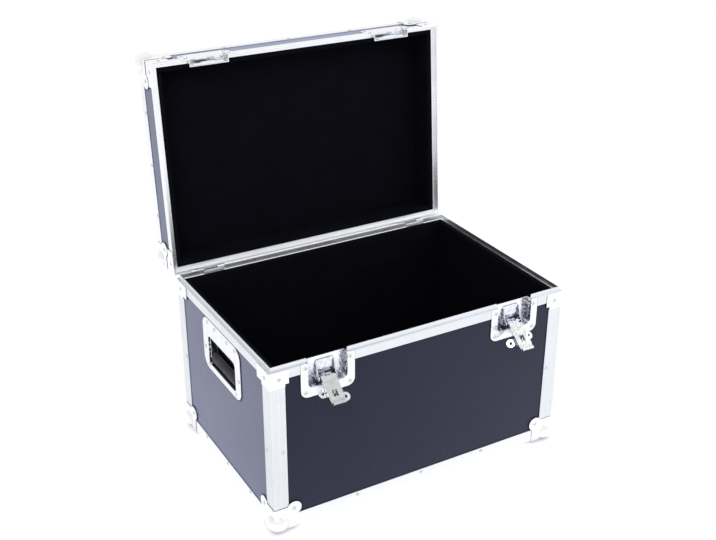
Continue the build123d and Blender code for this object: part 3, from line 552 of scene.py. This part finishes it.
pile_facing = pile_cloth()
BOARD = 0.0100  # thick, its facing included
FACING = 0.0014
ROUNDING = 0.0024  # radius of the edges
CROWN = 0.0007  # the face's rise to its middle
UNEVEN = 0.0002  # give or take, on the crown
PULLED_IN = 0.0005  # the sides' hollow, from the pull of the cloth
LINES_APART = 0.018
POCKET_GAP = 0.0003  # from a dish to the foam that is cut away for it
POCKET_SLOPE = 0.0001  # from a pocket's edge to the full thickness, to either side
LEAST_SUNK = 0.0005  # a dish that reaches less far into a board needs no pocket
HINGE_Y = 0.2064
HINGE_Z = 0.3239
hinge_line = Matrix.Translation((0, HINGE_Y, HINGE_Z))
lid_open = hinge_line @ Matrix.Rotation(-LID_TURN, 4, "X") @ hinge_line.inverted()


def box_of(points):
    return [Vector(pick(p[i] for p in points) for i in range(3)) for pick in (min, max)]


def board_lines(length, cuts):
    """Where a board's grid lines run: evenly, and close together at its ends and at its cuts."""
    steps = round(length / LINES_APART)
    marks = [length * k / steps for k in range(1, steps)]
    for share in (0, 0.3, 0.65, 1):
        marks += [ROUNDING * share, length - ROUNDING * share]
    for cut in cuts:
        marks += [edge + slope for edge in cut for slope in (-POCKET_SLOPE, POCKET_SLOPE)]
    return sorted({round(mark, 6) for mark in marks if 0 <= mark <= length})


def foam_board(name, low, high, axis, inward, pockets, pose, body, node):
    """A crowned board whose sides pull in a little, with rounded edges and its pockets cut out."""
    across, up = (i for i in range(3) if i != axis)
    width, height = high[across] - low[across], high[up] - low[up]
    cuts = [
        [(a[i] - low[i] - POCKET_GAP, b[i] - low[i] + POCKET_GAP) for i in (across, up)]
        for a, b in pockets
    ]
    levels = [0, 0.004, BOARD - ROUNDING, BOARD - FACING]
    levels += [BOARD - ROUNDING * share for share in (0.7, 0.35, 0)]
    grid = (
        board_lines(width, [cut[0] for cut in cuts]),
        board_lines(height, [cut[1] for cut in cuts]),
        levels,
    )
    last = [len(lines) - 1 for lines in grid]
    shape = bmesh.new()
    made = {}

    def point(*key):
        """The corner where three grid lines meet, bent from the plain box to the board's form."""
        if key in made:
            return made[key]
        p = Vector(lines[k] for lines, k in zip(grid, key))
        core = Vector((
            min(max(p.x, ROUNDING), width - ROUNDING),
            min(max(p.y, ROUNDING), height - ROUNDING),
            min(p.z, BOARD - ROUNDING),
        ))
        away = p - core
        if away.length > 0:
            away *= max(abs(a) for a in away) / away.length
        spot = core + away
        u, v = 2 * p.x / width - 1, 2 * p.y / height - 1
        share = spot.z / BOARD
        level = (1 - u ** 8) * (1 - v ** 8)
        spot.z += share * level * (CROWN + UNEVEN * noise.noise(p * 22 + low * 31))
        spot.x -= share * PULLED_IN * u ** 9 * (1 - v * v)
        spot.y -= share * PULLED_IN * v ** 9 * (1 - u * u)
        if any(a[0] <= p.x <= a[1] and b[0] <= p.y <= b[1] for a, b in cuts):
            spot.z = max(spot.z, BOARD - FACING)
        whole = Vector()
        whole[across], whole[up] = low[across] + spot.x, low[up] + spot.y
        whole[axis] = high[axis] - BOARD + spot.z if inward > 0 else low[axis] + BOARD - spot.z
        made[key] = shape.verts.new(pose @ whole)
        return made[key]

    for i in range(3):
        j, k = (m for m in range(3) if m != i)
        for end in (0, last[i]):
            for a in range(last[j]):
                for b in range(last[k]):
                    loop = []
                    for da, db in ((0, 0), (1, 0), (1, 1), (0, 1)):
                        key = [end] * 3
                        key[j], key[k] = a + da, b + db
                        loop.append(point(*key))
                    shape.faces.new(loop).smooth = True
    bmesh.ops.remove_doubles(shape, verts=shape.verts, dist=1e-6)
    bmesh.ops.recalc_face_normals(shape, faces=shape.faces)
    put_on(body, name, shape, pile_facing, "lining", node)


def line_half(half, body, pose, dished):
    """A board on the bottom or the top, and one on each wall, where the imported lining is."""
    closed = pose.inverted()
    node = f"{half}_lining"
    low, high = box_of([closed @ v.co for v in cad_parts[node].data.vertices])
    floor_z, ceiling_z = low.z, high.z
    if half == "base":
        boards = {"bottom": (low, Vector((*high.xy, low.z + BOARD)), 2, 1)}
        floor_z += BOARD
    else:
        boards = {"top": (Vector((*low.xy, high.z - BOARD)), high, 2, -1)}
        ceiling_z -= BOARD
    for wall, axis, inward in (("front", 1, 1), ("back", 1, -1), ("left", 0, 1), ("right", 0, -1)):
        start, end = Vector((*low.xy, floor_z)), Vector((*high.xy, ceiling_z))
        if axis == 0:
            start.y += BOARD
            end.y -= BOARD
        if inward > 0:
            end[axis] = start[axis] + BOARD
        else:
            start[axis] = end[axis] - BOARD
        boards[wall] = (start, end, axis, inward)
    for name, (start, end, axis, inward) in boards.items():
        pockets = []
        for dish in dished:
            points = [closed @ v.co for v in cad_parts[dish].data.vertices]
            outer = start[axis] if inward > 0 else end[axis]
            sunk = [p for p in points if LEAST_SUNK < (p[axis] - outer) * inward < BOARD]
            pockets += [box_of(sunk)] if len(sunk) > 2 and axis != 2 else []
        foam_board(f"{half}_{name}_board", start, end, axis, inward, pockets, pose, body, node)


handle_dishes = [f"{side}_handle_dish" for side in sides]
base_pans, lid_pans = ([f"{side}_latch_{half}_pan" for side in sides] for half in ("base", "lid"))
line_half("base", "case_base", Matrix.Identity(4), handle_dishes + base_pans)
line_half("lid", "lid", lid_open, lid_pans)


# ---------------------------------------------------------------- rivets
# Aluminium pop rivets: a domed head with the hole that the mandrel leaves when it breaks off.
# Shade is painted into the hole and round the head.
def rivet_metal():
    dull = (0.56, 0.57, 0.59)
    bright = (0.78, 0.79, 0.80)
    painted_shade = (0.04, 0.04, 0.05)
    metal = Finish("rivet_metal")
    wear = metal.cloud(metal.place(), 300, 3, 0.6)
    # painted shade in the mandrel's hole and round the head
    painted_shade_cover = metal.spread(metal.openness(0.0018), 0.3, 0.85, 0.95, 0)
    colour = metal.mix(painted_shade_cover, metal.mix(wear, dull, bright), painted_shade)
    return metal.set(Base_Color=colour, Metallic=1.0, Roughness=0.2 + wear * 0.15)


rivet_finish = rivet_metal()
# the head's outline from its foot to the bottom of the hole: radius and height in millimetres
HEAD = (
    (3.60, 0.00), (3.60, 0.18), (3.42, 0.50), (2.95, 0.80), (2.30, 1.00), (1.60, 1.09),
    (1.25, 1.05), (1.12, 0.90), (1.10, 0.30), (0.40, 0.25),
)
HEAD_STEPS = 20


def solids_of(packed):
    """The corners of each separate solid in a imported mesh, in the mesh's own order."""
    found = []
    seen = set()
    for start in packed.verts:
        if start in seen:
            continue
        seen.add(start)
        island = [start]
        for vert in island:
            for near in (edge.other_vert(vert) for edge in vert.link_edges):
                if near not in seen:
                    seen.add(near)
                    island.append(near)
        found.append(island)
    return found


def seat_of(solid):
    """Where a packed rivet's foot is, with z along the rivet towards its narrower end."""
    points = [vert.co for vert in solid]
    middle = sum(points, Vector()) / len(points)
    flats = [face for vert in solid for face in vert.link_faces]
    axis = max(flats, key=lambda face: face.calc_area()).normal.normalized()
    heights = [(p - middle).dot(axis) for p in points]
    radii = [(p - middle - axis * h).length for p, h in zip(points, heights)]
    below = max(r for r, h in zip(radii, heights) if h < 0)
    above = max(r for r, h in zip(radii, heights) if h > 0)
    if below < above:
        axis, heights = -axis, [-h for h in heights]
    turn = axis.to_track_quat("Z", "Y").to_matrix().to_4x4()
    return Matrix.Translation(middle + axis * min(heights)) @ turn


def domed_rivets(node, name, body):
    """A lathed head for every solid of a node, on the same spot and facing the same way."""
    packed = bmesh.new()
    packed.from_mesh(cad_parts[node].data)
    bmesh.ops.remove_doubles(packed, verts=packed.verts, dist=1e-5)
    heads = bmesh.new()
    for solid in solids_of(packed):
        seat = seat_of(solid)
        rings = []
        for radius, height in HEAD:
            ring = []
            for step in range(HEAD_STEPS):
                turn = 2 * math.pi * step / HEAD_STEPS
                spot = Vector((radius * math.cos(turn), radius * math.sin(turn), height)) / 1000
                ring.append(heads.verts.new(seat @ spot))
            rings.append(ring)
        loft(heads, rings)
    packed.free()
    put_on(body, name, heads, rivet_finish, "rivet", node)


domed_rivets("base_rivets", "base_pop_rivets", "case_base")
domed_rivets("lid_rivets", "lid_pop_rivets", "lid")
